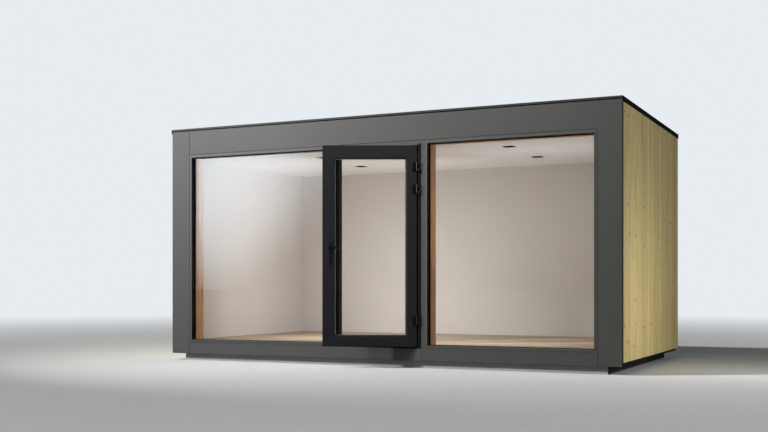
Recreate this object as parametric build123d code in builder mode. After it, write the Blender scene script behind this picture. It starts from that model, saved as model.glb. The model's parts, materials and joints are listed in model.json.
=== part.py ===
from build123d import *
import math
import os

# Garden office pod: a flat-roofed cabin with a glazed front and an outward-opening door.
# Millimetres. X runs along the front, Y from the front to the back, Z up.
# The origin is the middle of the base, on the ground.

# Overall size
width = 5000
depth = 2760
height = 2547

# Base and floor, built up from the ground
plinth_height = 85
plinth_width = 60
plinth_inset_front = 50
plinth_inset_side = 145
bearer_width = 80
panel_drop = 10
board_lift = 27
floor_thickness = 126
frame_step = 15
floor_board_thickness = 14

# Roof, built down from the top
cap_height = 20
shadow_gap = 9
side_trim_height = 49
roof_thickness = 148
ceiling_thickness = 100
lintel_height = 93
membrane_height = 24
trim_width = 70
trim_overhang = 6
trim_slope = 3
drip_lip = 3
drip_height = 4

# Walls and front covers
board_thickness = 20
wall_thickness = 150
lining_thickness = 15
panel_thickness = 25
front_wall_depth = 224
corner_panel_width = 226
corner_return = 38
joint_gap = 2
panel_edge = 1.5
sill_edge = 4

# Fixed windows
window_face = 32
window_sill_face = 25
window_face_slope = 2
window_seam = 1
frame_depth = 75
glass_recess = 38
glass_thickness = 28
glass_cover = 18
bead_start = 4
bead_slope = 8
bead_reach = 6
reveal_edge = 2
mullion_width = 31

# Door frame
door_clear_width = 950
jamb_face = 33
head_drop = 12
stop_reach = 20
door_frame_depth = 150
stop_gap = 7
threshold_slope = 4
threshold_lap = 10

# Door leaf, standing open
open_angle = 25.5
leaf_thickness = 68
leaf_gap = 5
latch_gap = 9
latch_stile = 118
hinge_stile = 106
top_rail = 127
bottom_rail = 107
leaf_edge = 1.5
bevel_width = 5
bevel_start = 2
bevel_end = 10
leaf_glass_recess = 20

# Hinges
hinge_proud = 18
hinge_inset = 2.5
barrel_radius = 12
barrel_height = 88
knuckle_gap = 0.5
pin_radius = 5
pin_clearance = 0.2
cap_radius = 9
cap_thickness = 3
cap_edge = 1
flap_thickness = 5
flap_corner = 6
leaf_flap_length = 42
frame_flap_length = 34
flap_clearance = 1.5
low_hinge_rise = 258
middle_hinge_fall = 433
top_hinge_fall = 215

# Lever handle
handle_rise = 975
handle_inset = 59
plate_length = 220
plate_width = 32
plate_thickness = 8
plate_fall = 45
spindle_radius = 5
spindle_clearance = 0.3
neck_radius = 9
handle_reach = 47
lever_length = 122
lever_height = 18
lever_thickness = 10
lever_round = 3

# Ceiling lights
light_size = 120
light_corner = 6
light_lip = 3
light_housing = 104
light_depth = 60
baffle_size = 92
baffle_depth = 34
baffle_angle = 18
light_spacing = 2190
light_offset = 60
light_row_inset = 556
light_row_gap = 965

# Heights worked out from the sizes above
panel_bottom = plinth_height - panel_drop
side_board_bottom = plinth_height + board_lift
floor_top = plinth_height + floor_thickness
floor_level = floor_top + floor_board_thickness
frame_bottom = floor_top - frame_step
opening_bottom = frame_bottom + window_sill_face
cap_bottom = height - cap_height
fascia_top = cap_bottom - shadow_gap
side_board_top = height - side_trim_height
wall_top = side_board_top - roof_thickness
ceiling_level = wall_top - ceiling_thickness
frame_top = wall_top - lintel_height
opening_top = frame_top - window_face
head_bottom = opening_top - head_drop
leaf_top = head_bottom - leaf_gap
leaf_bottom = floor_top + leaf_gap

# Places along and across
half_width = width / 2
front = -depth / 2
back = depth / 2
wall_outer = half_width - board_thickness
wall_inner = wall_outer - wall_thickness
room_side = wall_inner - lining_thickness
wall_back = back - board_thickness
wall_back_inner = wall_back - wall_thickness
room_back = wall_back_inner - lining_thickness
room_front = front + front_wall_depth
core_front = front + panel_thickness
frame_back = front + frame_depth
plinth_side = half_width - plinth_inset_side
plinth_front = front + plinth_inset_front
plinth_back = back - plinth_inset_front
cover_edge = half_width - corner_panel_width
window_outer = cover_edge - window_seam
opening_outer = window_outer - window_face
door_inner = door_clear_width / 2
door_outer = door_inner + jamb_face
window_inner = door_outer + mullion_width
opening_inner = window_inner + window_face
door_frame_back = front + door_frame_depth
threshold_back = door_frame_back + threshold_lap
stop_front = front + leaf_thickness + stop_gap
stop_inner = door_inner - stop_reach
trim_outer = half_width + trim_overhang
trim_inner = trim_outer - trim_width
trim_front = front - trim_overhang
trim_front_inner = trim_front + trim_width
trim_back = back + trim_overhang
trim_back_inner = trim_back - trim_width

# The open door: its own directions, and places on it measured from the hinge line
hinge_x = door_inner - leaf_gap + hinge_inset
hinge_y = front - hinge_proud
hinge_line = Vector(hinge_x, hinge_y, 0)
door_turn = math.radians(open_angle)
along_door = (math.cos(door_turn), math.sin(door_turn), 0)
out_of_door = (math.sin(door_turn), -math.cos(door_turn), 0)
leaf_x = (-hinge_inset - door_clear_width + leaf_gap + latch_gap, -hinge_inset)
leaf_z = (leaf_bottom, leaf_top)
sight_x = (leaf_x[0] + latch_stile, leaf_x[1] - hinge_stile)
sight_z = (leaf_bottom + bottom_rail, leaf_top - top_rail)
hinge_heights = (leaf_bottom + low_hinge_rise, leaf_top - middle_hinge_fall, leaf_top - top_hinge_fall)
handle_place = (leaf_x[0] + handle_inset, leaf_bottom + handle_rise)
plate_place = (handle_place[0], handle_place[1] - plate_fall)

os.makedirs("parts", exist_ok=True)


def block(x_low, x_high, y_low, y_high, z_low, z_high, mode=Mode.ADD):
    """Adds a plain rectangular block between two corners to the open part."""
    with BuildSketch(Plane.XY.offset(z_low)) as plan:
        with Locations(((x_low + x_high) / 2, (y_low + y_high) / 2)):
            Rectangle(x_high - x_low, y_high - y_low)
    extrude(plan.sketch, amount=z_high - z_low, mode=mode)


def frame_face(x_ends, z_ends, grow=0):
    """Draws the rectangle between two pairs of ends, grown on every side."""
    with Locations((sum(x_ends) / 2, sum(z_ends) / 2)):
        Rectangle(x_ends[1] - x_ends[0] + 2 * grow, z_ends[1] - z_ends[0] + 2 * grow)


def ring(outer_x, outer_z, inner_x, inner_z, y_low, y_high):
    """Adds an upright rectangular ring, seen from the front, to the open part."""
    with BuildSketch(Plane.XZ.offset(-y_high)) as elevation:
        frame_face(outer_x, outer_z)
        with Locations((sum(inner_x) / 2, sum(inner_z) / 2)):
            Rectangle(inner_x[1] - inner_x[0], inner_z[1] - inner_z[0], mode=Mode.SUBTRACT)
    extrude(elevation.sketch, amount=y_high - y_low)


def sweep_round(face, x_ends, z_ends, section, mode=Mode.ADD):
    """Sweeps a section of (outward, inward) points round a rectangle on an upright face."""
    middle = sum(x_ends) / 2
    low, high = z_ends
    with BuildLine(face) as path:
        Polyline(
            (middle, low), (x_ends[1], low), (x_ends[1], high),
            (x_ends[0], high), (x_ends[0], low), close=True,
        )
    start = face.from_local_coords((middle, low, 0))
    with BuildSketch(Plane(origin=start, x_dir=(0, 0, -1), z_dir=face.x_dir)) as cut:
        with BuildLine():
            Polyline(*section, close=True)
        make_face()
    sweep(sections=cut.sketch, path=path.wires()[0], transition=Transition.RIGHT, mode=mode)


def run_along_x(profile, x_low, x_high):
    """Adds a (depth, height) profile, run from one X to another, to the open part."""
    with BuildSketch(Plane.YZ.offset(x_low)) as section:
        with BuildLine():
            Polyline(*profile, close=True)
        make_face()
    extrude(section.sketch, amount=x_high - x_low)


def soften_front(piece, length):
    """Breaks every edge of a piece's front face."""
    chamfer(piece.faces().sort_by(Axis.Y)[0].edges(), length=length)


def jamb_post(side, mode=Mode.ADD):
    """Adds or cuts one rebated door post, from the floor's top up to the head."""
    outline = (
        (side * door_inner, front),
        (side * door_outer, front),
        (side * door_outer, door_frame_back),
        (side * stop_inner, door_frame_back),
        (side * stop_inner, stop_front),
        (side * door_inner, stop_front),
    )
    with BuildSketch(Plane.XY.offset(floor_top)) as plan:
        with BuildLine():
            Polyline(*outline, close=True)
        make_face()
    extrude(plan.sketch, amount=opening_top - floor_top, mode=mode)


def door_plan(z):
    """A level plane at height z that turns with the open door about its hinge line."""
    return Plane(origin=(hinge_x, hinge_y, z), x_dir=along_door, z_dir=(0, 0, 1))


def door_face(depth_in):
    """The plane of the open door's outer face, moved into the leaf by depth_in."""
    origin = hinge_line - Vector(*out_of_door) * (hinge_proud + depth_in)
    return Plane(origin=origin, x_dir=along_door, z_dir=out_of_door)


def save(piece, name):
    """Names a finished piece and writes it."""
    piece.part.label = name
    export_step(piece.part, f"parts/{name}.step")


# Base: a ring of plinths with a bearer across the middle
with BuildPart() as front_plinth:
    block(-plinth_side, plinth_side, plinth_front, plinth_front + plinth_width, 0, plinth_height)
save(front_plinth, "front_plinth")

with BuildPart() as rear_plinth:
    block(-plinth_side, plinth_side, plinth_back - plinth_width, plinth_back, 0, plinth_height)
save(rear_plinth, "rear_plinth")

for side, name in ((-1, "left_plinth"), (1, "right_plinth")):
    plinth_x = sorted((side * plinth_side, side * (plinth_side - plinth_width)))
    with BuildPart() as side_plinth:
        block(*plinth_x, plinth_front + plinth_width, plinth_back - plinth_width, 0, plinth_height)
    save(side_plinth, name)

with BuildPart() as centre_bearer:
    block(
        -bearer_width / 2, bearer_width / 2,
        plinth_front + plinth_width, plinth_back - plinth_width,
        0, plinth_height,
    )
save(centre_bearer, "centre_bearer")

# Floor: a cassette with a step along its front for the window and door frames, and its boards
with BuildPart() as floor_panel:
    block(-wall_outer, wall_outer, core_front, wall_back, plinth_height, floor_top)
    block(-room_side, room_side, core_front, frame_back, frame_bottom, floor_top, mode=Mode.SUBTRACT)
    block(
        -door_outer, door_outer, frame_back, threshold_back,
        frame_bottom, floor_top, mode=Mode.SUBTRACT,
    )
save(floor_panel, "floor_panel")

with BuildPart() as floor_boards:
    block(-room_side, room_side, room_front, room_back, floor_top, floor_level)
save(floor_boards, "floor_boards")

# Walls: insulated cores, linings inside and boards outside
with BuildPart() as rear_wall:
    block(-wall_inner, wall_inner, wall_back_inner, wall_back, floor_top, wall_top)
save(rear_wall, "rear_wall")

with BuildPart() as rear_lining:
    block(-room_side, room_side, room_back, wall_back_inner, floor_top, ceiling_level)
save(rear_lining, "rear_lining")

with BuildPart() as rear_boards:
    block(-half_width, half_width, wall_back, back, side_board_bottom, side_board_top)
save(rear_boards, "rear_boards")

for side, word in ((-1, "left"), (1, "right")):
    core_x = sorted((side * wall_outer, side * wall_inner))
    lining_x = sorted((side * wall_inner, side * room_side))
    board_x = sorted((side * half_width, side * wall_outer))
    boards_start = front + corner_return + joint_gap
    with BuildPart() as side_wall:
        block(*core_x, core_front, wall_back, floor_top, wall_top)
    save(side_wall, f"{word}_wall")
    with BuildPart() as side_lining:
        block(*lining_x, core_front, wall_back_inner, floor_top, ceiling_level)
    save(side_lining, f"{word}_lining")
    with BuildPart() as side_boards:
        block(*board_x, boards_start, wall_back, side_board_bottom, side_board_top)
    save(side_boards, f"{word}_boards")

# Beam over the windows and the door
with BuildPart() as front_lintel:
    block(-wall_inner, wall_inner, core_front, room_front, frame_top, wall_top)
save(front_lintel, "front_lintel")

# Posts between the windows and the door, notched over the floor's edge
for side, name in ((-1, "left_mullion"), (1, "right_mullion")):
    post_x = sorted((side * door_outer, side * window_inner))
    with BuildPart() as mullion:
        block(*post_x, front, room_front, frame_bottom, frame_top)
        block(*post_x, frame_back, room_front, frame_bottom, floor_top, mode=Mode.SUBTRACT)
        soften_front(mullion, panel_edge)
    save(mullion, name)

# Front covers: tall corner panels that turn back along the sides, the fascia and the low panels
for side, name in ((-1, "left_corner_panel"), (1, "right_corner_panel")):
    cover_outline = (
        (side * cover_edge, front),
        (side * half_width, front),
        (side * half_width, front + corner_return),
        (side * wall_outer, front + corner_return),
        (side * wall_outer, core_front),
        (side * cover_edge, core_front),
    )
    with BuildPart() as corner_panel:
        with BuildSketch(Plane.XY.offset(panel_bottom)):
            with BuildLine():
                Polyline(*cover_outline, close=True)
            make_face()
        extrude(amount=fascia_top - panel_bottom)
        soften_front(corner_panel, panel_edge)
        return_x = sorted((side * wall_outer, side * half_width))
        block(
            *return_x, core_front, front + corner_return,
            side_board_top, fascia_top, mode=Mode.SUBTRACT,
        )
    save(corner_panel, name)

with BuildPart() as fascia:
    block(
        -cover_edge + joint_gap, cover_edge - joint_gap,
        front, core_front, frame_top + joint_gap, fascia_top,
    )
    soften_front(fascia, panel_edge)
save(fascia, "fascia")

sill_profile = (
    (core_front, panel_bottom),
    (front + panel_edge, panel_bottom),
    (front, panel_bottom + panel_edge),
    (front, frame_bottom - sill_edge),
    (front + sill_edge, frame_bottom),
    (core_front, frame_bottom),
)
sill_panel_ends = (
    (-cover_edge + joint_gap, -door_outer - joint_gap / 2),
    (-door_outer + joint_gap / 2, door_outer - joint_gap / 2),
    (door_outer + joint_gap / 2, cover_edge - joint_gap),
)
with BuildPart() as sill_panels:
    for x_low, x_high in sill_panel_ends:
        run_along_x(sill_profile, x_low, x_high)
save(sill_panels, "sill_panels")

# Windows: mitred frames with glazing beads, sealed glass and deep timber reveals
glass_back_depth = glass_recess + glass_thickness
face_section = (
    (0, 0), (window_face, window_face_slope), (window_face, panel_thickness), (0, panel_thickness),
)
outer_bead_section = (
    (0, bead_start), (-bead_reach, bead_start + bead_slope), (-bead_reach, glass_recess), (0, glass_recess),
)
inner_bead_section = (
    (0, glass_back_depth), (-bead_reach, glass_back_depth),
    (-bead_reach, frame_depth - bead_start), (0, frame_depth),
)
opening_z = (opening_bottom, opening_top)
for side, word in ((-1, "left"), (1, "right")):
    opening_x = sorted((side * opening_inner, side * opening_outer))
    body_x = sorted((side * window_inner, side * room_side))
    glass_block = (
        opening_x[0] - glass_cover, opening_x[1] + glass_cover,
        front + glass_recess, front + glass_back_depth,
        opening_bottom - glass_cover, opening_top + glass_cover,
    )
    with BuildPart() as window_frame:
        ring(body_x, (frame_bottom, frame_top), opening_x, opening_z, core_front, frame_back)
        for section in (face_section, outer_bead_section, inner_bead_section):
            sweep_round(Plane.XZ.offset(-front), opening_x, opening_z, section)
        block(
            *body_x, front, core_front,
            opening_bottom - window_face, frame_bottom, mode=Mode.SUBTRACT,
        )
        block(*glass_block, mode=Mode.SUBTRACT)
    save(window_frame, f"{word}_window_frame")
    with BuildPart() as window_glass:
        block(*glass_block)
    save(window_glass, f"{word}_window_glass")
    with BuildPart() as window_reveal:
        ring(body_x, (floor_top, frame_top), opening_x, opening_z, frame_back, room_front)
        room_face = window_reveal.faces().sort_by(Axis.Y)[-1]
        chamfer(room_face.inner_wires().edges(), length=reveal_edge)
    save(window_reveal, f"{word}_window_reveal")

# Door frame: two rebated posts, a rebated head over them and a threshold under them
for side, name in ((-1, "left_door_jamb"), (1, "right_door_jamb")):
    with BuildPart() as door_jamb:
        jamb_post(side)
        chamfer(door_jamb.faces().sort_by(Axis.Y)[0].edges().filter_by(Axis.Z), length=panel_edge)
    save(door_jamb, name)

head_profile = (
    (front, head_bottom), (stop_front, head_bottom),
    (stop_front, head_bottom - stop_reach), (door_frame_back, head_bottom - stop_reach),
    (door_frame_back, head_bottom), (room_front, head_bottom),
    (room_front, frame_top), (front + panel_edge, frame_top), (front, frame_top - panel_edge),
)
with BuildPart() as door_head:
    run_along_x(head_profile, -door_outer, door_outer)
    for side in (-1, 1):
        jamb_post(side, mode=Mode.SUBTRACT)
save(door_head, "door_head")

threshold_profile = (
    (front, frame_bottom), (threshold_back, frame_bottom), (threshold_back, floor_top),
    (room_front, floor_top), (room_front, floor_level),
    (stop_front + threshold_slope, floor_level), (stop_front, floor_level - threshold_slope),
    (stop_front, floor_top), (front + panel_edge, floor_top), (front, floor_top - panel_edge),
)
with BuildPart() as door_threshold:
    run_along_x(threshold_profile, -door_outer, door_outer)
    for side in (-1, 1):
        jamb_post(side, mode=Mode.SUBTRACT)
save(door_threshold, "door_threshold")

# Door leaf: a framed leaf with bevelled glazing edges, turned open about the hinge line
outer_bevel_section = ((0, 0), (bevel_width, 0), (bevel_width, bevel_start), (0, bevel_end))
inner_bevel_section = [(outward, leaf_thickness - inward) for outward, inward in outer_bevel_section]
with BuildPart() as door_leaf:
    with BuildSketch(door_face(0)):
        frame_face(leaf_x, leaf_z)
    extrude(amount=-leaf_thickness)
    leaf_faces = door_leaf.faces().sort_by(Axis(hinge_line, out_of_door))
    chamfer(leaf_faces[0].edges() + leaf_faces[-1].edges(), length=leaf_edge)
    with BuildSketch(door_face(0)):
        frame_face(sight_x, sight_z)
    extrude(amount=-leaf_thickness, mode=Mode.SUBTRACT)
    for section in (outer_bevel_section, inner_bevel_section):
        sweep_round(door_face(0), sight_x, sight_z, section, mode=Mode.SUBTRACT)
    with BuildSketch(door_face(leaf_glass_recess)):
        frame_face(sight_x, sight_z, grow=glass_cover)
    extrude(amount=-glass_thickness, mode=Mode.SUBTRACT)
    with BuildSketch(door_face(0)):
        with Locations(handle_place):
            Circle(spindle_radius + spindle_clearance)
    extrude(amount=-leaf_thickness, mode=Mode.SUBTRACT)
save(door_leaf, "door_leaf")

with BuildPart() as door_glass:
    with BuildSketch(door_face(leaf_glass_recess)):
        frame_face(sight_x, sight_z, grow=glass_cover)
    extrude(amount=-glass_thickness)
save(door_glass, "door_glass")

# Hinges: the outer knuckles, their pin and flap stay on the frame, the bored middle knuckle turns
knuckle_height = barrel_height / 3
web_length = 2 * (barrel_radius - flap_clearance)
with BuildPart() as hinge_frame_flaps:
    for centre in hinge_heights:
        bottom = centre - barrel_height / 2
        with BuildSketch(Plane.XZ.offset(-front)) as flap:
            frame_face((hinge_x + flap_clearance, hinge_x + frame_flap_length), (bottom, bottom + barrel_height))
            fillet(flap.vertices().sort_by(Axis.X)[-2:], radius=flap_corner)
        extrude(amount=flap_thickness)
        for step in (0, 2):
            with BuildSketch(Plane.XY.offset(bottom + step * knuckle_height)):
                with Locations((hinge_x, hinge_y)):
                    Circle(barrel_radius)
                with Locations((hinge_x + barrel_radius, hinge_y + hinge_proud / 2)):
                    Rectangle(web_length, hinge_proud)
            extrude(amount=knuckle_height)
        with BuildSketch(Plane.XY.offset(bottom)):
            with Locations((hinge_x, hinge_y)):
                Circle(pin_radius)
        extrude(amount=barrel_height)
        for cap_base, cap_side in ((bottom, -1), (bottom + barrel_height, 1)):
            with BuildSketch(Plane.XY.offset(cap_base)):
                with Locations((hinge_x, hinge_y)):
                    Circle(cap_radius)
            extrude(amount=cap_side * cap_thickness)
            cap_end = cap_base + cap_side * cap_thickness
            chamfer(hinge_frame_flaps.edges().filter_by_position(Axis.Z, cap_end, cap_end), length=cap_edge)
save(hinge_frame_flaps, "hinge_frame_flaps")

with BuildPart() as hinge_leaf_flaps:
    for centre in hinge_heights:
        bottom = centre - barrel_height / 2
        low = bottom + knuckle_height + knuckle_gap
        flap_end = -hinge_inset - flap_clearance
        with BuildSketch(door_face(0)) as flap:
            frame_face((flap_end - leaf_flap_length, flap_end), (bottom, bottom + barrel_height))
            fillet(flap.vertices().sort_by(Axis.X)[:2], radius=flap_corner)
        extrude(amount=flap_thickness)
        with BuildSketch(door_plan(low)):
            Circle(barrel_radius)
            with Locations((-barrel_radius, hinge_proud - flap_thickness / 2 - barrel_radius / 2)):
                Rectangle(web_length, barrel_radius + flap_thickness)
            Circle(pin_radius + pin_clearance, mode=Mode.SUBTRACT)
        extrude(amount=knuckle_height - 2 * knuckle_gap)
save(hinge_leaf_flaps, "hinge_leaf_flaps")

# Lever handle: a slim plate on each face of the leaf and one lever that turns on its spindle
with BuildPart() as door_handle_plates:
    with BuildSketch(door_face(0)) as plate:
        with Locations(plate_place):
            SlotOverall(plate_length, plate_width, rotation=90)
        with Locations(handle_place):
            Circle(spindle_radius + spindle_clearance, mode=Mode.SUBTRACT)
    extrude(amount=plate_thickness)
    plate_faces = door_handle_plates.faces().sort_by(Axis(hinge_line, out_of_door))
    chamfer(plate_faces[-1].outer_wire().edges(), length=panel_edge)
    mirror(about=door_face(leaf_thickness / 2))
save(door_handle_plates, "door_handle_plates")

with BuildPart() as door_lever:
    with BuildSketch(door_face(lever_thickness - handle_reach)):
        with Locations((handle_place[0] + (lever_length - lever_height) / 2, handle_place[1])):
            SlotOverall(lever_length, lever_height)
    extrude(amount=lever_thickness)
    lever_faces = door_lever.faces().sort_by(Axis(hinge_line, out_of_door))
    fillet(lever_faces[-1].edges(), radius=lever_round)
    with BuildSketch(door_face(-plate_thickness - spindle_clearance)):
        with Locations(handle_place):
            Circle(neck_radius)
    extrude(amount=handle_reach - lever_thickness - plate_thickness - spindle_clearance)
    with BuildSketch(door_face(leaf_thickness / 2)):
        with Locations(handle_place):
            Circle(spindle_radius)
    extrude(amount=leaf_thickness / 2 + plate_thickness + spindle_clearance)
    mirror(about=door_face(leaf_thickness / 2))
save(door_lever, "door_lever")

# Ceiling with its recessed square lights
light_places = [
    (light_offset + side * light_spacing / 2, room_front + light_row_inset + row * light_row_gap)
    for side in (-1, 1)
    for row in (0, 1)
]
with BuildPart() as ceiling_panel:
    block(-wall_inner, wall_inner, room_front, wall_back_inner, ceiling_level, wall_top)
    with BuildSketch(Plane.XY.offset(ceiling_level)):
        with Locations(*light_places):
            Rectangle(light_housing, light_housing)
    extrude(amount=light_depth, mode=Mode.SUBTRACT)
save(ceiling_panel, "ceiling_panel")

with BuildPart() as ceiling_lights:
    with BuildSketch(Plane.XY.offset(ceiling_level)):
        with Locations(*light_places):
            Rectangle(light_housing, light_housing)
    extrude(amount=light_depth)
    with BuildSketch(Plane.XY.offset(ceiling_level - light_lip)):
        with Locations(*light_places):
            RectangleRounded(light_size, light_size, light_corner)
    extrude(amount=light_lip)
    with BuildSketch(Plane.XY.offset(ceiling_level - light_lip)):
        with Locations(*light_places):
            Rectangle(baffle_size, baffle_size)
    extrude(amount=baffle_depth, taper=baffle_angle, mode=Mode.SUBTRACT)
save(ceiling_lights, "ceiling_lights")

# Roof: deck, membrane and the folded trims round its edge
with BuildPart() as roof_deck:
    block(-wall_outer, wall_outer, core_front, wall_back, wall_top, side_board_top)
save(roof_deck, "roof_deck")

with BuildPart() as roof_membrane:
    block(
        -trim_inner, trim_inner, trim_front_inner, trim_back_inner,
        side_board_top, side_board_top + membrane_height,
    )
save(roof_membrane, "roof_membrane")

front_trim_profile = (
    (trim_front, cap_bottom), (trim_front, height - trim_slope), (trim_front + trim_slope, height),
    (trim_front_inner, height - trim_slope), (trim_front_inner, side_board_top),
    (core_front, side_board_top), (core_front, cap_bottom + drip_height),
    (trim_front + drip_lip, cap_bottom + drip_height), (trim_front + drip_lip, cap_bottom),
)
with BuildPart() as front_roof_trim:
    run_along_x(front_trim_profile, -half_width, half_width)
save(front_roof_trim, "front_roof_trim")

rear_trim_profile = (
    (trim_back, side_board_top), (trim_back, height - trim_slope), (trim_back - trim_slope, height),
    (trim_back_inner, height - trim_slope), (trim_back_inner, side_board_top),
    (back, side_board_top), (back, side_board_top + drip_height),
    (trim_back - drip_lip, side_board_top + drip_height), (trim_back - drip_lip, side_board_top),
)
with BuildPart() as rear_roof_trim:
    run_along_x(rear_trim_profile, -half_width, half_width)
save(rear_roof_trim, "rear_roof_trim")

for side, name in ((-1, "left_roof_trim"), (1, "right_roof_trim")):
    side_trim_profile = (
        (side * trim_outer, side_board_top), (side * trim_outer, height - trim_slope),
        (side * (trim_outer - trim_slope), height), (side * trim_inner, height - trim_slope),
        (side * trim_inner, side_board_top), (side * half_width, side_board_top),
        (side * half_width, side_board_top + drip_height),
        (side * (trim_outer - drip_lip), side_board_top + drip_height),
        (side * (trim_outer - drip_lip), side_board_top),
    )
    with BuildPart() as side_trim:
        with BuildSketch(Plane.XZ.offset(-trim_back)):
            with BuildLine():
                Polyline(*side_trim_profile, close=True)
            make_face()
        extrude(amount=trim_back - trim_front)
        block(
            -half_width, half_width, trim_front, trim_front_inner,
            side_board_top, height, mode=Mode.SUBTRACT,
        )
        block(
            -half_width, half_width, trim_back_inner, trim_back,
            side_board_top, height, mode=Mode.SUBTRACT,
        )
    save(side_trim, name)
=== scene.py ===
import json
import math
import random

import bmesh
import bpy
from mathutils import Matrix, Vector


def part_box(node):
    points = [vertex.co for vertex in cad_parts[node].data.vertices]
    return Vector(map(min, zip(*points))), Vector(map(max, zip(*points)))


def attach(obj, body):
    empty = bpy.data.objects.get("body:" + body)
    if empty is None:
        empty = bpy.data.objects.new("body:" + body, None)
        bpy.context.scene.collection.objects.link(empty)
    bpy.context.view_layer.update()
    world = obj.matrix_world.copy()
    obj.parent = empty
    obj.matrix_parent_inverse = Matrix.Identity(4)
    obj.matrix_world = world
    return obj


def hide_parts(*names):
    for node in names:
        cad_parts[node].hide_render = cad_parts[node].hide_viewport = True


# Looks of the garden office pod, in metres, in the same axes as its solids.

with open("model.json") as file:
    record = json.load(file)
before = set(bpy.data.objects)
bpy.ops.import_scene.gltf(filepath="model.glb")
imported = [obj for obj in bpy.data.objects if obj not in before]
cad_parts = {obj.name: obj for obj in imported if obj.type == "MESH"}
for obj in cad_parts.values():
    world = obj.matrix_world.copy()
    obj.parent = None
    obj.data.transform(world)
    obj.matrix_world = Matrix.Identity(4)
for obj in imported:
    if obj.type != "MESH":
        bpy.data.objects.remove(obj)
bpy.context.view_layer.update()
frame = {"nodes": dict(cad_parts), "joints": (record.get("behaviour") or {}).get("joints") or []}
cad_nodes = frame["nodes"]
random.seed(20)

# Camera: level, and turned towards the front's left
CAMERA_PLACE = (4.7205, -11.066, 0.804)
CAMERA_TURN = math.radians(25.5)
CAMERA_LENS = 50.06
SENSOR_WIDTH = 36.0
HORIZON_SHIFT = 0.0926
CAMERA_REACH = 1000.0

# Sun and sky. In gloss the sky is dark but for one soft bright patch, whose edge and core are
# cosines of the angle from its middle.
SUN_TRAVEL = (0.77, 0.44, -0.46)
SUN_STRENGTH = 3.3
SUN_ANGLE = math.radians(2.5)
SUN_COLOUR = (1.0, 0.97, 0.93)
SKY_STRENGTH = 0.14
SKY_COLOUR = (0.93, 0.97, 1.0, 1.0)
BACKGROUND = (0.80, 0.84, 0.88, 1.0)
PATCH_WAY = (-0.62, -0.76, 0.20)
PATCH_EDGE = 0.973
PATCH_CORE = 0.998
GLOSS_LOW = 0.06
GLOSS_HIGH = 9.5

# Lamps: name, place, target, size in metres, power in watts, spread in degrees, colour
WHITE = (1.0, 1.0, 1.0)
COOL = (0.98, 0.99, 1.0)
LAMPS = (
    ("upper_left_lamp", (-3.2, -4.6, 4.3), (-1.5, -1.38, 2.6), (0.7, 0.7), 125.0, 110, WHITE),
    ("top_front_lamp", (0.6, -3.0, 4.3), (0.6, -1.4, 2.5), (4.2, 0.5), 12.0, 60, WHITE),
    (
        "right_side_lamp", (6.2, -0.9, 1.6), (2.5, -0.5, 1.0), (2.4, 1.6), 22.0, 110,
        (0.95, 1.0, 1.0),
    ),
    (
        "right_foot_lamp", (5.0, -0.9, 0.95), (2.5, -0.6, 0.3), (1.4, 0.5), 4.2, 75,
        (1.0, 0.95, 0.88),
    ),
    ("left_room_lamp", (-0.6, -0.7, 0.90), (-1.5, 1.2, 0.70), (1.3, 0.5), 31.0, 180, COOL),
    ("right_room_lamp", (0.9, -1.05, 0.75), (0.7, 1.2, 0.3), (1.7, 0.5), 13.0, 180, COOL),
    (
        "right_ceiling_lamp", (1.3, -0.6, 0.9), (1.3, -0.5, 2.3), (1.6, 0.8), 10.0, 180,
        (0.96, 0.98, 1.0),
    ),
    (
        "window_head_lamp", (0.0, -1.02, 2.12), (0.0, -1.12, 0.2), (4.2, 0.12), 5.0, 80,
        (0.98, 0.98, 1.0),
    ),
)

# Stage floor
FLOOR_RADIUS = 400.0
FLOOR_SIDES = 96
FADE_START = 3.5
FADE_END = 22.0

# Front finish: how far behind the front plane it reaches, which is just past the low panels'
# slanting top edge, and how a face has to look to count as a front or as a top. The other faces
# take the edge colour: partly the real black of the frames behind the grey covers, partly
# painted shade in the shadow gaps and seams.
FRONT_FINISH_DEPTH = 0.00405
FRONT_LEAST = 0.8
RISE_WEIGHT = 0.35
TOP_LEAST = 0.6

# How a face has to look to count as the front of a plinth, where a pale colour paints the light
# from the ground, and as one on a level frame member
FORWARD_MOST = -0.5
LEVEL_LEAST = 0.5

# How far a powder coat's roughness goes below and above its own value
ROUGHNESS_DOWN = 0.04
ROUGHNESS_UP = 0.05

# Side and rear boards, and floor planks
BOARD_WORDS = ("tone", "shift", "groove")
FACE_POINTS = (3, 4)
BOARD_COVER = 0.0964
BOARD_GROOVE = 0.003
BOARD_GAP = 0.0003
BOARD_TONES = (0.86, 1.06)
PLANK_COVER = 0.18
PLANK_LENGTH = 1.9
PLANK_GROOVE = 0.0012
PLANK_TONES = (0.90, 1.06)
SHORTEST_PLANK = 0.02
FIRST_CUTS = (0.2, 0.9)

# Wood grain: its shift from board to board, its stretch, and cells with knots in some of them
GRAIN_SHIFTS = (0.0, 60.0)
GRAIN_STRETCH = 0.045
# Painted shade: how dark a board gets down in its groove
GROOVE_SHADE = 0.45
FRAME_GRAIN_ACROSS = 22.0
FRAME_GRAIN_ALONG = 1.1
KNOT_CELLS_ACROSS = 6.0
KNOT_CELLS_ALONG = 7.5
KNOT_WOBBLE = 0.02
KNOT_SIZES = (0.45, 1.1)
KNOT_CORE = 0.06
KNOT_EDGE = 0.14

# Sealed glass: panes, the bar between them and the black lip round them
PANE_THICKNESS = 0.005
PANE_TINT = (0.975, 0.985, 0.98, 1.0)
SHEEN_COLOUR = (0.95, 0.97, 1.0, 1.0)
SHEEN_LOW = 0.022
SHEEN_HIGH = 0.9
SHEEN_POWER = 5.0
WINDOW_COVER = 0.024
DOOR_COVER = 0.018
SPACER_WIDTH = 0.012
WINDOW_SPACER_INSET = 0.004
DOOR_SPACER_INSET = 0.016
LIP_REACH = 0.004
LIP_HEIGHT = 0.0022

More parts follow.
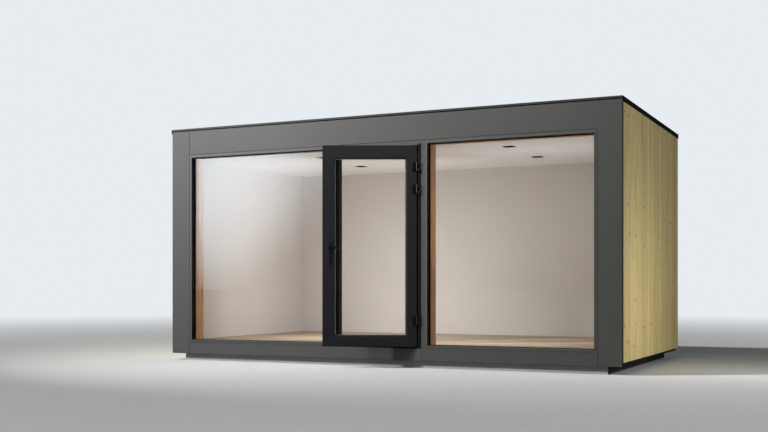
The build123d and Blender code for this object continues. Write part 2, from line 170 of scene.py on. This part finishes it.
# Door seals: the bulb's (across, out) points as shares of its width and depth, and the flap's
# (reach, depth) points from the jamb and from the rebate's face
STOP_GAP = 0.007
BULB_INSET = 0.002
BULB_WIDTH = 0.009
BULB_DEPTH = 0.005
BULB_PROFILE = ((0.0, 0.0), (0.0, 0.6), (0.3, 1.0), (0.7, 1.0), (1.0, 0.6), (1.0, 0.0))
SEAL_FLAP_PROFILE = (
    (0.0, 0.0010), (0.0, 0.0050), (0.032, 0.0042), (0.034, 0.0030), (0.032, 0.0018),
)
SEAL_FLAP_END_GAP = 0.001

# Hinge screws, whose heads have (share of the radius, height) points
HINGE_FLAP_THICKNESS = 0.005
HINGE_HALF = 0.047
HINGE_STEP = 0.218
SCREW_RADIUS = 0.0042
SCREW_SIDES = 12
SCREW_PROFILE = ((1.0, 0.0), (1.0, 0.0004), (0.82, 0.0011), (0.5, 0.0013), (0.46, 0.0004))
SCREW_LIFT = 0.030
FRAME_SCREW_INSET = 0.0075
LEAF_SCREW_INSET = 0.01125

# Roof laps
ROOF_SHEET = 1.2
LAP_WIDTH = 0.060
LAP_HEIGHT = 0.002

# Strip that closes the seam between the fascia and the right corner panel
PANEL_EDGE = 0.0015
STRIP_DEPTH = 0.003


def linear(red, green, blue):
    """A colour given as 0 to 255 screen values, as linear light."""
    return tuple((value / 255) ** 2.2 for value in (red, green, blue)) + (1.0,)


# Shader nodes

def feed(tree, socket, value):
    """Links an output to a socket, or sets a constant on it."""
    if isinstance(value, bpy.types.NodeSocket):
        tree.links.new(value, socket)
    else:
        socket.default_value = value


def node(tree, kind, settings=None, inputs=None):
    """Adds a shader node. An input takes a constant, or the output that feeds it."""
    made = tree.nodes.new("ShaderNode" + kind)
    for name, value in (settings or {}).items():
        setattr(made, name, value)
    for name, value in (inputs or {}).items():
        feed(tree, made.inputs[name], value)
    return made


def start_material(name, constants):
    """A node material with the constants set on its own shader's sockets."""
    material = bpy.data.materials.new(name)
    material.use_nodes = True
    tree = material.node_tree
    shader = tree.nodes["Principled BSDF"]
    for socket, value in constants.items():
        shader.inputs[socket].default_value = value
    return material, tree, shader


def here(tree):
    """The point on the object."""
    return node(tree, "TexCoord").outputs["Object"]


def axes(tree, vector):
    """The three parts of a vector."""
    return node(tree, "SeparateXYZ", inputs={"Vector": vector}).outputs


def facing(tree):
    """The way that the surface faces, by axis."""
    return axes(tree, node(tree, "TexCoord").outputs["Normal"])


def noise(tree, vector, scale, detail=3.0, roughness=0.5):
    """Cloudy variation between 0 and 1."""
    inputs = {"Vector": vector, "Scale": scale, "Detail": detail, "Roughness": roughness}
    return node(tree, "TexNoise", inputs=inputs).outputs["Fac"]


def ramp(tree, factor, stops):
    """Colours along a factor, from (place, colour) stops."""
    made = node(tree, "ValToRGB", inputs={"Fac": factor})
    band = made.color_ramp
    while len(band.elements) < len(stops):
        band.elements.new(0.5)
    for element, (place, colour) in zip(band.elements, stops):
        element.position = place
        element.color = colour
    return made.outputs["Color"]


def spread(tree, factor, low, high, start=0.0, end=1.0, how="LINEAR"):
    """Maps a factor that runs from start to end to the range from low to high."""
    inputs = {
        "Value": factor, "From Min": start, "From Max": end, "To Min": low, "To Max": high,
    }
    return node(tree, "MapRange", {"interpolation_type": how}, inputs).outputs["Result"]


def blend(tree, factor, first, second, how="MIX"):
    """Mixes two colours by a factor."""
    made = node(tree, "Mix", {"data_type": "RGBA", "blend_type": how})
    for name, value in (("Factor", factor), ("A", first), ("B", second)):
        feed(tree, next(s for s in made.inputs if s.name == name and s.enabled), value)
    return next(s for s in made.outputs if s.enabled)


def dim(tree, colour, factor):
    """Multiplies a colour by a factor."""
    inputs = {"Red": factor, "Green": factor, "Blue": factor}
    shade = node(tree, "CombineColor", inputs=inputs).outputs["Color"]
    return blend(tree, 1.0, colour, shade, "MULTIPLY")


def maths(tree, operation, first, second=0.0):
    """One arithmetic step."""
    made = node(tree, "Math", {"operation": operation})
    for socket, value in zip(made.inputs, (first, second)):
        feed(tree, socket, value)
    return made.outputs["Value"]


def mixed_shader(tree, factor, first, second):
    """Mixes the shaders of two nodes by a factor."""
    both = node(tree, "MixShader", inputs={"Fac": factor})
    tree.links.new(first.outputs[0], both.inputs[1])
    tree.links.new(second.outputs[0], both.inputs[2])
    return both


def finish_surface(tree, shader, colour, roughness, height, strength, distance):
    """Gives a shader its colour, its roughness and a fine relief."""
    tree.links.new(colour, shader.inputs["Base Color"])
    tree.links.new(roughness, shader.inputs["Roughness"])
    relief = node(tree, "Bump", inputs={
        "Height": height, "Strength": strength, "Distance": distance,
    })
    tree.links.new(relief.outputs["Normal"], shader.inputs["Normal"])


# Materials

def powder_coat(name, colour, roughness, gloss, edge_colour_and_gap_shade=None, light_tops=False):
    """Powder-coated metal. Beside an edge colour, which is partly the real black of frames and
    partly painted shade in gaps and seams, the first one is for fronts, or also tops.
    """
    material, tree, shader = start_material(name, {"Metallic": 0.0, "Specular IOR Level": gloss})
    point = here(tree)
    base = colour
    if edge_colour_and_gap_shade:
        way = facing(tree)
        rise = maths(tree, "MULTIPLY", way["Z"], RISE_WEIGHT)
        outward = maths(tree, "SUBTRACT", rise, way["Y"])
        looks_forward = maths(tree, "GREATER_THAN", outward, FRONT_LEAST)
        in_front = maths(tree, "LESS_THAN", axes(tree, point)["Y"], front_finish_limit)
        pale = maths(tree, "MULTIPLY", looks_forward, in_front)
        if light_tops:
            pale = maths(tree, "MAXIMUM", pale, maths(tree, "GREATER_THAN", way["Z"], TOP_LEAST))
        base = blend(tree, pale, edge_colour_and_gap_shade, colour)
    broad = spread(tree, noise(tree, point, scale=1.3), 0.94, 1.06)
    fine = spread(tree, noise(tree, point, scale=260.0, detail=2.0), 0.96, 1.04)
    finish_surface(
        tree, shader,
        colour=dim(tree, base, maths(tree, "MULTIPLY", broad, fine)),
        roughness=spread(
            tree, noise(tree, point, scale=5.0), roughness - ROUGHNESS_DOWN,
            roughness + ROUGHNESS_UP,
        ),
        height=noise(tree, point, scale=700.0, detail=1.0), strength=0.12, distance=0.0004,
    )
    return material


def knots(tree, point, run, across, share):
    """1 inside a knot and 0 outside. A share of the cells holds one."""
    cell_point = node(tree, "CombineXYZ", inputs={
        "X": maths(tree, "MULTIPLY", across, KNOT_CELLS_ACROSS),
        "Y": maths(tree, "MULTIPLY", run, KNOT_CELLS_ALONG),
    }).outputs["Vector"]
    cells = node(
        tree, "TexVoronoi", {"voronoi_dimensions": "2D"},
        {"Vector": cell_point, "Scale": 1.0, "Randomness": 1.0},
    ).outputs
    wobble = spread(tree, noise(tree, point, scale=60.0), -KNOT_WOBBLE, KNOT_WOBBLE)
    distance = maths(tree, "ADD", cells["Distance"], wobble)
    lot = node(tree, "SeparateColor", inputs={"Color": cells["Color"]}).outputs
    reach = maths(tree, "DIVIDE", distance, spread(tree, lot["Green"], *KNOT_SIZES))
    near = spread(tree, reach, 1.0, 0.0, start=KNOT_CORE, end=KNOT_EDGE)
    return maths(tree, "MULTIPLY", near, maths(tree, "LESS_THAN", lot["Red"], share))


def board_wood(name, pale, dark, knot, along, knot_share):
    """Planed wood whose grain runs along one axis, 0, 1 or 2, with a tone for each board and
    painted shade in its grooves.
    """
    material, tree, shader = start_material(name, {"Specular IOR Level": 0.3})
    tone, shift, groove = [
        node(tree, "Attribute", {"attribute_name": word}).outputs["Fac"] for word in BOARD_WORDS
    ]
    offset = node(tree, "CombineXYZ", inputs={"X": shift, "Y": shift, "Z": shift})
    moved = node(tree, "VectorMath", {"operation": "ADD"})
    tree.links.new(here(tree), moved.inputs[0])
    tree.links.new(offset.outputs["Vector"], moved.inputs[1])
    point = moved.outputs["Vector"]
    stretch = [1.0, 1.0, 1.0]
    stretch[along] = GRAIN_STRETCH
    stretched = node(tree, "Mapping", inputs={"Vector": point, "Scale": stretch})
    long_point = stretched.outputs["Vector"]
    figure = noise(tree, long_point, scale=34.0, detail=4.0, roughness=0.55)
    fibre = noise(tree, long_point, scale=260.0, detail=3.0, roughness=0.6)
    body = ramp(tree, figure, ((0.30, pale), (0.52, pale), (0.66, dark), (0.80, pale)))
    streaks = spread(tree, fibre, 0.90, 1.08)
    # Painted shade: the wood darkens towards the bottom of each groove
    groove_shaded = maths(tree, "MULTIPLY", tone, spread(tree, groove, 1.0, GROOVE_SHADE))
    wood = dim(tree, body, maths(tree, "MULTIPLY", streaks, groove_shaded))
    parts = axes(tree, point)
    across = maths(tree, "ADD", *[parts[k] for k in range(3) if k != along])
    spot = knots(tree, point, parts[along], across, knot_share)
    finish_surface(
        tree, shader,
        colour=blend(tree, spot, wood, knot), roughness=spread(tree, fibre, 0.48, 0.62),
        height=fibre, strength=0.25, distance=0.0006,
    )
    return material


def frame_wood(name, pale, dark):
    """Lacquered timber on a ring of four members: the grain follows each member."""
    material, tree, shader = start_material(
        name, {"Specular IOR Level": 0.4, "Coat Weight": 0.08},
    )
    parts = axes(tree, here(tree))
    rise = maths(tree, "ABSOLUTE", facing(tree)["Z"])
    level = maths(tree, "GREATER_THAN", rise, LEVEL_LEAST)
    upright = maths(tree, "SUBTRACT", 1.0, level)
    run = maths(
        tree, "ADD",
        maths(tree, "MULTIPLY", parts["X"], level),
        maths(tree, "MULTIPLY", parts["Z"], upright),
    )
    grain_point = node(tree, "CombineXYZ", inputs={
        "X": maths(tree, "MULTIPLY", parts["Y"], FRAME_GRAIN_ACROSS),
        "Y": maths(tree, "MULTIPLY", run, FRAME_GRAIN_ALONG),
        "Z": level,
    }).outputs["Vector"]
    figure = noise(tree, grain_point, scale=1.7, detail=5.0, roughness=0.6)
    fibre = noise(tree, grain_point, scale=14.0, detail=3.0, roughness=0.6)
    body = ramp(tree, figure, ((0.28, dark), (0.50, pale), (0.62, dark), (0.78, pale)))
    finish_surface(
        tree, shader,
        colour=dim(tree, body, spread(tree, fibre, 0.86, 1.10)),
        roughness=spread(tree, fibre, 0.34, 0.50),
        height=fibre, strength=0.2, distance=0.0005,
    )
    return material


def plaster(name, colour):
    """Rolled wall paint."""
    material, tree, shader = start_material(name, {"Specular IOR Level": 0.25})
    point = here(tree)
    cloud = spread(tree, noise(tree, point, scale=1.6, detail=5.0, roughness=0.6), 0.95, 1.04)
    finish_surface(
        tree, shader,
        colour=dim(tree, colour, cloud),
        roughness=spread(tree, noise(tree, point, scale=90.0), 0.7, 0.85),
        height=noise(tree, point, scale=240.0, detail=2.0), strength=0.18, distance=0.0006,
    )
    return material


def stained(name, colour, roughness, grain, depth, painted_lit_front_colour=None):
    """A plain painted, rubber or membrane surface with dust and a fine texture. A second colour
    on forward faces paints a lit front beside painted shade on the other faces.
    """
    material, tree, shader = start_material(name, {"Specular IOR Level": 0.2})
    point = here(tree)
    cloud = spread(tree, noise(tree, point, scale=2.2, detail=6.0, roughness=0.62), 0.82, 1.18)
    base = colour
    if painted_lit_front_colour:
        forward = maths(tree, "LESS_THAN", facing(tree)["Y"], FORWARD_MOST)
        base = blend(tree, forward, colour, painted_lit_front_colour)
    finish_surface(
        tree, shader,
        colour=dim(tree, base, cloud),
        roughness=spread(tree, noise(tree, point, scale=18.0), *roughness),
        height=noise(tree, point, scale=grain, detail=3.0), strength=0.3, distance=depth,
    )
    return material


def clear_glass(name, shade):
    """Clear glass that mirrors more at a low angle, and lets a share of the light through."""
    material = bpy.data.materials.new(name)
    material.use_nodes = True
    tree = material.node_tree
    tree.nodes.remove(tree.nodes["Principled BSDF"])
    for_lamps = node(tree, "LightPath").outputs["Is Shadow Ray"]
    tint = blend(tree, for_lamps, PANE_TINT, (shade, shade, shade, 1.0))
    through = node(tree, "BsdfTransparent", inputs={"Color": tint})
    sheen = node(tree, "BsdfGlossy", inputs={"Color": SHEEN_COLOUR, "Roughness": 0.0})
    slant = node(tree, "LayerWeight", inputs={"Blend": 0.5}).outputs["Facing"]
    mirror = spread(tree, maths(tree, "POWER", slant, SHEEN_POWER), SHEEN_LOW, SHEEN_HIGH)
    both = mixed_shader(tree, mirror, through, sheen)
    tree.links.new(both.outputs["Shader"], tree.nodes["Material Output"].inputs["Surface"])
    return material


front_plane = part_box("fascia")[0].y
front_finish_limit = front_plane + FRONT_FINISH_DEPTH

# BLACK goes on the faces that are not fronts: the black frames' own colour, and painted shade in
# the shadow gaps and seams
BLACK = linear(16, 16, 17)
grey_coat = powder_coat(
    "grey_coat", linear(71, 71, 71), roughness=0.42, gloss=0.3, edge_colour_and_gap_shade=BLACK,
    light_tops=True,
)
cap_coat = powder_coat(
    "cap_coat", linear(56, 58, 56), roughness=0.42, gloss=0.17, edge_colour_and_gap_shade=BLACK,
)
black_coat = powder_coat("black_coat", linear(21, 21, 22), roughness=0.45, gloss=0.1)
hinge_coat = powder_coat("hinge_coat", linear(24, 24, 25), roughness=0.28, gloss=0.55)
leaf_coat = powder_coat("leaf_coat", linear(52, 51, 54), roughness=0.40, gloss=0.2)
# The plinth's pale front paints the light thrown up from the ground, and its dark sides and back
# paint the deep shade under the boards
plinth_painted_light_and_shade = stained(
    "plinth_painted_light_and_shade", linear(44, 44, 45), roughness=(0.55, 0.75), grain=160.0, depth=0.0006,
    painted_lit_front_colour=linear(172, 172, 171),
)
core_wrap = stained(
    "core_wrap", linear(40, 40, 42), roughness=(0.5, 0.7), grain=60.0, depth=0.0008,
)
roof_rubber = stained(
    "roof_rubber", linear(52, 53, 55), roughness=(0.6, 0.85), grain=40.0, depth=0.0012,
)
seal_rubber = stained(
    "seal_rubber", linear(22, 22, 23), roughness=(0.5, 0.65), grain=200.0, depth=0.0003,
)
spacer_metal = powder_coat("spacer_metal", linear(205, 207, 210), roughness=0.3, gloss=0.8)
wall_paint = plaster("wall_paint", linear(198, 189, 184))
ceiling_paint = plaster("ceiling_paint", linear(226, 221, 220))
pine = board_wood(
    "pine", pale=linear(224, 202, 144), dark=linear(202, 172, 108), knot=linear(116, 82, 48),
    along=2, knot_share=0.18,
)
oak = board_wood(
    "oak", pale=linear(172, 154, 131), dark=linear(148, 127, 102), knot=linear(104, 78, 55),
    along=0, knot_share=0.05,
)
reveal_wood = frame_wood("reveal_wood", pale=linear(208, 154, 100), dark=linear(164, 114, 70))
window_glass = clear_glass("window_glass", shade=0.75)
door_glass = clear_glass("door_glass", shade=0.70)


# Shapes

def straight(u, v, w):
    """Leaves a place as it is."""
    return (u, v, w)


def prism(mesh, outline, low, high, place=straight):
    """Adds a closed prism: an outline of (x, y) points, run in height from low to high."""
    count = len(outline)
    bottom = [mesh.verts.new(place(u, v, low)) for u, v in outline]
    top = [mesh.verts.new(place(u, v, high)) for u, v in outline]
    mesh.faces.new(bottom[::-1])
    mesh.faces.new(top)
    for i in range(count):
        j = (i + 1) % count
        mesh.faces.new((bottom[i], bottom[j], top[j], top[i]))
    return bottom + top


def mitred_ring(mesh, x_ends, z_ends, section, place=straight):
    """Adds a closed ring: a section of (outward, depth) points, run round a rectangle."""
    corners = ((0, 0), (1, 0), (1, 1), (0, 1))
    loops = []
    for across, up in corners:
        x_way, z_way = 2 * across - 1, 2 * up - 1
        loops.append([
            mesh.verts.new(place(x_ends[across] + x_way * out, depth, z_ends[up] + z_way * out))
            for out, depth in section
        ])
    for i, loop in enumerate(loops):
        following = loops[(i + 1) % len(loops)]
        for k in range(len(section)):
            m = (k + 1) % len(section)
            mesh.faces.new((loop[k], loop[m], following[m], following[k]))


def finish_piece(name, mesh, material, body, replaced=()):
    """Turns a bmesh into a piece of the pod on a body, in a material slot."""
    bmesh.ops.recalc_face_normals(mesh, faces=mesh.faces)
    data = bpy.data.meshes.new(name)
    mesh.to_mesh(data)
    mesh.free()
    data.materials.append(material)
    piece = bpy.data.objects.new(name, data)
    bpy.context.scene.collection.objects.link(piece)
    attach(piece, body)
    if replaced:
        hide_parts(*replaced)


def measure(name, turn, pivot):
    """The ends of a CAD node, from a pivot and in axes turned about an upright line."""
    into = Matrix.Rotation(-turn, 3, "Z")
    points = [into @ (vertex.co - Vector(pivot)) for vertex in cad_nodes[name].data.vertices]
    low = Vector(min(point[k] for point in points) for k in range(3))
    high = Vector(max(point[k] for point in points) for k in range(3))
    return low, high


def board_mesh():
    """An empty mesh whose points can carry the words that the wood reads."""
    mesh = bmesh.new()
    return mesh, [mesh.verts.layers.float.new(word) for word in BOARD_WORDS]


def add_board(mesh, layers, outline, low, high, tones, place=straight):
    """Adds a board. Two of its outline's points bound its face, and the rest its groove."""
    tone_layer, shift_layer, groove_layer = layers
    tone = random.uniform(*tones)
    shift = random.uniform(*GRAIN_SHIFTS)
    for index, vertex in enumerate(prism(mesh, outline, low, high, place)):
        vertex[tone_layer] = tone
        vertex[shift_layer] = shift
        vertex[groove_layer] = float(index % len(outline) not in FACE_POINTS)


def board_run(name, node_name, face, along_x):
    """Upright grooved boards over the space of one CAD slab. The face looks along +1 or -1."""
    low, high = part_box(node_name)
    start, end = (low.x, high.x) if along_x else (low.y, high.y)
    back, front = (low, high) if face > 0 else (high, low)
    back_depth = back.y if along_x else back.x
    face_depth = front.y if along_x else front.x
    groove_depth = face_depth - face * BOARD_GROOVE
    count = round((end - start) / BOARD_COVER)
    cover = (end - start) / count
    mesh, layers = board_mesh()
    for k in range(count):
        left = start + k * cover + BOARD_GAP / 2
        right = start + (k + 1) * cover - BOARD_GAP / 2
        outline = (
            (left, back_depth), (right, back_depth), (right, groove_depth),
            (right - BOARD_GROOVE, face_depth), (left + BOARD_GROOVE, face_depth),
            (left, groove_depth),
        )
        if not along_x:
            outline = tuple((depth, run) for run, depth in outline)
        add_board(mesh, layers, outline, low.z, high.z, BOARD_TONES)
    finish_piece(name, mesh, pine, "pod", (node_name,))


def floor_planks():
    """Staggered planks over the space of the floor boards."""
    low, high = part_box("floor_boards")
    rows = round((high.y - low.y) / PLANK_COVER)
    cover = (high.y - low.y) / rows
    top, shoulder = high.z, high.z - PLANK_GROOVE
    mesh, layers = board_mesh()
    for row in range(rows):
        start = low.x - random.uniform(*FIRST_CUTS) * PLANK_LENGTH
        front = low.y + row * cover
        back = front + cover
        outline = (
            (front, low.z), (back, low.z), (back, shoulder), (back - PLANK_GROOVE, top),
            (front + PLANK_GROOVE, top), (front, shoulder),
        )
        while start < high.x:
            left, right = max(start, low.x), min(start + PLANK_LENGTH, high.x)
            start += PLANK_LENGTH
            if right - left < SHORTEST_PLANK:
                continue
            add_board(
                mesh, layers, outline, left, right, PLANK_TONES, lambda u, v, w: (w, u, v),
            )
    finish_piece("floor_planks", mesh, oak, "pod", ("floor_boards",))


def turned(turn, pivot):
    """A way to place points: turned about an upright line, and moved to a pivot."""
    out = Matrix.Rotation(turn, 3, "Z")
    return lambda u, v, w: out @ Vector((u, v, w)) + Vector(pivot)


def glass_unit(
    word, glass, body, spacer_coat, cover, inset, turn=0.0, pivot=(0.0, 0.0, 0.0),
):
    """Two panes, the spacer between them and a black lip round them, for one CAD sheet."""
    node_name = f"{word}_glass"
    low, high = measure(node_name, turn, pivot)
    place = turned(turn, pivot)
    panes = bmesh.new()
    for near in (low.y, high.y - PANE_THICKNESS):
        outline = (
            (low.x, near), (high.x, near),
            (high.x, near + PANE_THICKNESS), (low.x, near + PANE_THICKNESS),
        )
        prism(panes, outline, low.z, high.z, place)
    finish_piece(f"{word}_panes", panes, glass, body, (node_name,))
    spacer = bmesh.new()
    gap_near, gap_far = low.y + PANE_THICKNESS, high.y - PANE_THICKNESS
    section = (
        (0.0, gap_near), (-SPACER_WIDTH, gap_near), (-SPACER_WIDTH, gap_far), (0.0, gap_far),
    )
    x_ends = (low.x + inset, high.x - inset)
    z_ends = (low.z + inset, high.z - inset)
    mitred_ring(spacer, x_ends, z_ends, section, place)
    finish_piece(f"{word}_spacer", spacer, spacer_coat, body)
    lips = bmesh.new()
    sight_x = (low.x + cover, high.x - cover)
    sight_z = (low.z + cover, high.z - cover)
    for surface, way in ((low.y, -1), (high.y, 1)):
        crest = surface + way * LIP_HEIGHT
        lip = (
            (0.0, surface), (0.0, crest), (-LIP_REACH + LIP_HEIGHT, crest),
            (-LIP_REACH, surface),
        )
        mitred_ring(lips, sight_x, sight_z, lip, place)
    finish_piece(f"{word}_gasket", lips, seal_rubber, body)


def door_seals():
    """The soft bulb round the rebate, and the flap that covers the gap on the hinge side."""
    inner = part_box("right_door_jamb")[0].x
    face = measure("door_leaf", open_turn, hinge_line)[1].y + hinge_line[1] + STOP_GAP
    head_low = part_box("door_head")[0].z
    sill_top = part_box("door_threshold")[1].z
    bulb = bmesh.new()
    section = [
        (BULB_INSET + across * BULB_WIDTH, face - out * BULB_DEPTH)
        for across, out in BULB_PROFILE
    ]
    mitred_ring(bulb, (-inner, inner), (sill_top, head_low), section)
    finish_piece("door_bulb_seal", bulb, seal_rubber, "pod")
    flap = bmesh.new()
    outline = [(inner - reach, face + depth) for reach, depth in SEAL_FLAP_PROFILE]
    prism(flap, outline, sill_top + SEAL_FLAP_END_GAP, head_low - SEAL_FLAP_END_GAP)
    finish_piece("hinge_side_flap_seal", flap, seal_rubber, "pod")


def screw_head(mesh, spot, place=straight):
    """Adds one low dome with a socket at a spot, on a face that looks to the front."""
    turns = [2 * math.pi * k / SCREW_SIDES for k in range(SCREW_SIDES)]
    loops = []
    for share, lift in SCREW_PROFILE:
        radius = share * SCREW_RADIUS
        loops.append([
            mesh.verts.new(place(*(
                spot + Vector((radius * math.cos(turn), -lift, radius * math.sin(turn)))
            )))
            for turn in turns
        ])
    for lower, upper in zip(loops, loops[1:]):
        for k in range(SCREW_SIDES):
            m = (k + 1) % SCREW_SIDES
            mesh.faces.new((lower[k], lower[m], upper[m], upper[k]))
    mesh.faces.new(loops[0][::-1])
    mesh.faces.new(loops[-1])


def hinge_screws():
    """Two screws in each visible half of every hinge."""
    frame_low, frame_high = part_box("hinge_frame_flaps")
    frame_x, frame_y = frame_high.x - FRAME_SCREW_INSET, front_plane - HINGE_FLAP_THICKNESS
    leaf_x = measure("hinge_leaf_flaps", open_turn, hinge_line)[0].x + LEAF_SCREW_INSET
    leaf_y = measure("door_leaf", open_turn, hinge_line)[0].y - HINGE_FLAP_THICKNESS
    top_centre = frame_high.z - HINGE_HALF
    frame_screws, leaf_screws = bmesh.new(), bmesh.new()
    for centre in (frame_low.z + HINGE_HALF, top_centre, top_centre - HINGE_STEP):
        for height in (centre - SCREW_LIFT, centre + SCREW_LIFT):
            screw_head(frame_screws, Vector((frame_x, frame_y, height)))
            screw_head(
                leaf_screws, Vector((leaf_x, leaf_y, height - hinge_line[2])),
                turned(open_turn, hinge_line),
            )
    finish_piece("hinge_frame_screws", frame_screws, black_coat, "pod")
    finish_piece("hinge_leaf_screws", leaf_screws, black_coat, "door")


def roof_laps():
    """Welded laps where the sheets of the roof membrane meet."""
    low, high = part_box("roof_membrane")
    laps = bmesh.new()
    count = round((high.x - low.x) / ROOF_SHEET)
    for k in range(1, count):
        centre = low.x + k * (high.x - low.x) / count
        left, right = centre - LAP_WIDTH / 2, centre + LAP_WIDTH / 2
        outline = (
            (left, high.z), (right, high.z), (right - LAP_HEIGHT, high.z + LAP_HEIGHT),
            (left + LAP_HEIGHT, high.z + LAP_HEIGHT),
        )
        prism(laps, outline, low.y, high.y, lambda u, v, w: (u, w, v))
    finish_piece("roof_laps", laps, roof_rubber, "pod")


def seam_strip():
    """The strip that carries the fascia over to the right corner panel without a seam."""
    low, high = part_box("fascia")
    left, right = high.x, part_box("right_corner_panel")[0].x
    strip = bmesh.new()
    outline = (
        (left - PANEL_EDGE, front_plane), (right + PANEL_EDGE, front_plane),
        (right, front_plane + PANEL_EDGE), (right, front_plane + STRIP_DEPTH),
        (left, front_plane + STRIP_DEPTH), (left, front_plane + PANEL_EDGE),
    )
    prism(strip, outline, low.z, high.z)
    finish_piece("fascia_seam_strip", strip, grey_coat, "pod")


def assign(material, *names):
    """Gives CAD nodes a material."""
    for name in names:
        slots = cad_nodes[name].data.materials
        slots.clear()
        slots.append(material)


assign(
    grey_coat, "left_corner_panel", "right_corner_panel", "fascia", "sill_panels",
    "left_mullion", "right_mullion", "left_window_frame", "right_window_frame", "door_head",
)
assign(cap_coat, "front_roof_trim")
assign(
    black_coat, "rear_roof_trim", "left_roof_trim", "right_roof_trim", "left_door_jamb",
    "right_door_jamb", "door_threshold", "ceiling_lights",
)
assign(hinge_coat, "hinge_frame_flaps", "hinge_leaf_flaps", "door_lever")
assign(leaf_coat, "door_leaf", "door_handle_plates")
assign(
    plinth_painted_light_and_shade, "front_plinth", "rear_plinth", "left_plinth", "right_plinth", "centre_bearer",
)
assign(core_wrap, "floor_panel", "rear_wall", "left_wall", "right_wall", "roof_deck")
assign(wall_paint, "rear_lining", "left_lining", "right_lining", "front_lintel")
assign(ceiling_paint, "ceiling_panel")
assign(reveal_wood, "left_window_reveal", "right_window_reveal")
assign(roof_rubber, "roof_membrane")

board_run("left_board_run", "left_boards", -1, along_x=False)
board_run("right_board_run", "right_boards", 1, along_x=False)
board_run("rear_board_run", "rear_boards", 1, along_x=True)
floor_planks()

swing = next(joint for joint in frame["joints"] if joint["name"] == "door_swing")
open_turn = math.radians(-swing["range_deg"][0])
hinge_line = swing["pos_m"]
for word in ("left_window", "right_window"):
    glass_unit(
        word, window_glass, "pod", seal_rubber, WINDOW_COVER,
        WINDOW_SPACER_INSET,
    )
glass_unit(
    "door", door_glass, "door", spacer_metal, DOOR_COVER, DOOR_SPACER_INSET,
    open_turn, hinge_line,
)
door_seals()
hinge_screws()
roof_laps()
seam_strip()


# Stage, light and camera

def stage_floor():
    """A wide pale floor that fades into the background, and throws little light back."""
    material, tree, shader = start_material(
        "stage_floor", {"Roughness": 0.9, "Specular IOR Level": 0.1},
    )
    point = here(tree)
    cloud = spread(tree, noise(tree, point, scale=0.8), 0.97, 1.03)
    pale = dim(tree, linear(198, 199, 200), cloud)
    path = node(tree, "LightPath").outputs
    unseen = blend(tree, path["Is Glossy Ray"], linear(128, 128, 125), linear(62, 62, 62))
    shown = blend(tree, path["Is Camera Ray"], unseen, pale)
    tree.links.new(shown, shader.inputs["Base Color"])
    glow = node(tree, "Emission", inputs={"Color": BACKGROUND, "Strength": 1.0})
    reach = node(tree, "VectorMath", {"operation": "LENGTH"}, {"Vector": point})
    far = spread(
        tree, reach.outputs["Value"], 0.0, 1.0, start=FADE_START, end=FADE_END, how="SMOOTHSTEP",
    )
    both = mixed_shader(tree, maths(tree, "MULTIPLY", far, path["Is Camera Ray"]), shader, glow)
    tree.links.new(both.outputs["Shader"], tree.nodes["Material Output"].inputs["Surface"])
    mesh = bmesh.new()
    bmesh.ops.create_circle(mesh, cap_ends=True, radius=FLOOR_RADIUS, segments=FLOOR_SIDES)
    data = bpy.data.meshes.new("stage_floor")
    mesh.to_mesh(data)
    mesh.free()
    data.materials.append(material)
    floor = bpy.data.objects.new("stage_floor", data)
    bpy.context.scene.collection.objects.link(floor)


def sky():
    """Even light, a pale background, and in gloss a dark sky with one soft bright patch."""
    world = bpy.data.worlds.new("sky")
    bpy.context.scene.world = world
    world.use_nodes = True
    tree = world.node_tree
    tree.nodes.clear()
    path = node(tree, "LightPath").outputs
    seen = maths(tree, "MAXIMUM", path["Is Camera Ray"], path["Is Transmission Ray"])
    light = node(tree, "Background", inputs={"Color": SKY_COLOUR, "Strength": SKY_STRENGTH})
    view = node(tree, "Background", inputs={"Color": BACKGROUND, "Strength": 1.0})
    way = node(tree, "VectorMath", {"operation": "DOT_PRODUCT"})
    tree.links.new(node(tree, "TexCoord").outputs["Generated"], way.inputs[0])
    way.inputs[1].default_value = PATCH_WAY
    gleam = spread(
        tree, way.outputs["Value"], GLOSS_LOW, GLOSS_HIGH, start=PATCH_EDGE, end=PATCH_CORE,
        how="SMOOTHSTEP",
    )
    gloss = node(tree, "Background", inputs={"Color": BACKGROUND, "Strength": gleam})
    unseen = mixed_shader(tree, path["Is Glossy Ray"], light, gloss)
    both = mixed_shader(tree, seen, unseen, view)
    output = node(tree, "OutputWorld")
    tree.links.new(both.outputs["Shader"], output.inputs["Surface"])


def shining(way):
    """The rotation of a light that shines along a way."""
    return Vector(way).to_track_quat("-Z", "Y").to_euler()


def sun():
    """Soft sunlight from the upper left."""
    data = bpy.data.lights.new("sun", "SUN")
    data.energy = SUN_STRENGTH
    data.angle = SUN_ANGLE
    data.color = SUN_COLOUR
    lamp = bpy.data.objects.new("sun", data)
    lamp.rotation_euler = shining(SUN_TRAVEL)
    bpy.context.scene.collection.objects.link(lamp)


def soft_lamp(name, place, target, size, power, spread_angle, colour):
    """A soft panel of light that no ray sees, aimed at a target."""
    data = bpy.data.lights.new(name, "AREA")
    data.shape = "RECTANGLE"
    data.size, data.size_y = size
    data.energy = power
    data.spread = math.radians(spread_angle)
    data.color = colour
    lamp = bpy.data.objects.new(name, data)
    lamp.location = place
    lamp.rotation_euler = shining(Vector(target) - Vector(place))
    lamp.visible_camera = False
    lamp.visible_glossy = False
    bpy.context.scene.collection.objects.link(lamp)


def camera():
    """The view of the photograph."""
    data = bpy.data.cameras.new("camera")
    data.lens = CAMERA_LENS
    data.sensor_width = SENSOR_WIDTH
    data.shift_y = HORIZON_SHIFT
    data.clip_end = CAMERA_REACH
    seen_from = bpy.data.objects.new("camera", data)
    seen_from.location = CAMERA_PLACE
    seen_from.rotation_euler = (math.pi / 2, 0.0, CAMERA_TURN)
    bpy.context.scene.collection.objects.link(seen_from)
    bpy.context.scene.camera = seen_from


stage_floor()
sky()
sun()
for lamp in LAMPS:
    soft_lamp(*lamp)
camera()
bpy.context.scene.view_settings.view_transform = "Standard"
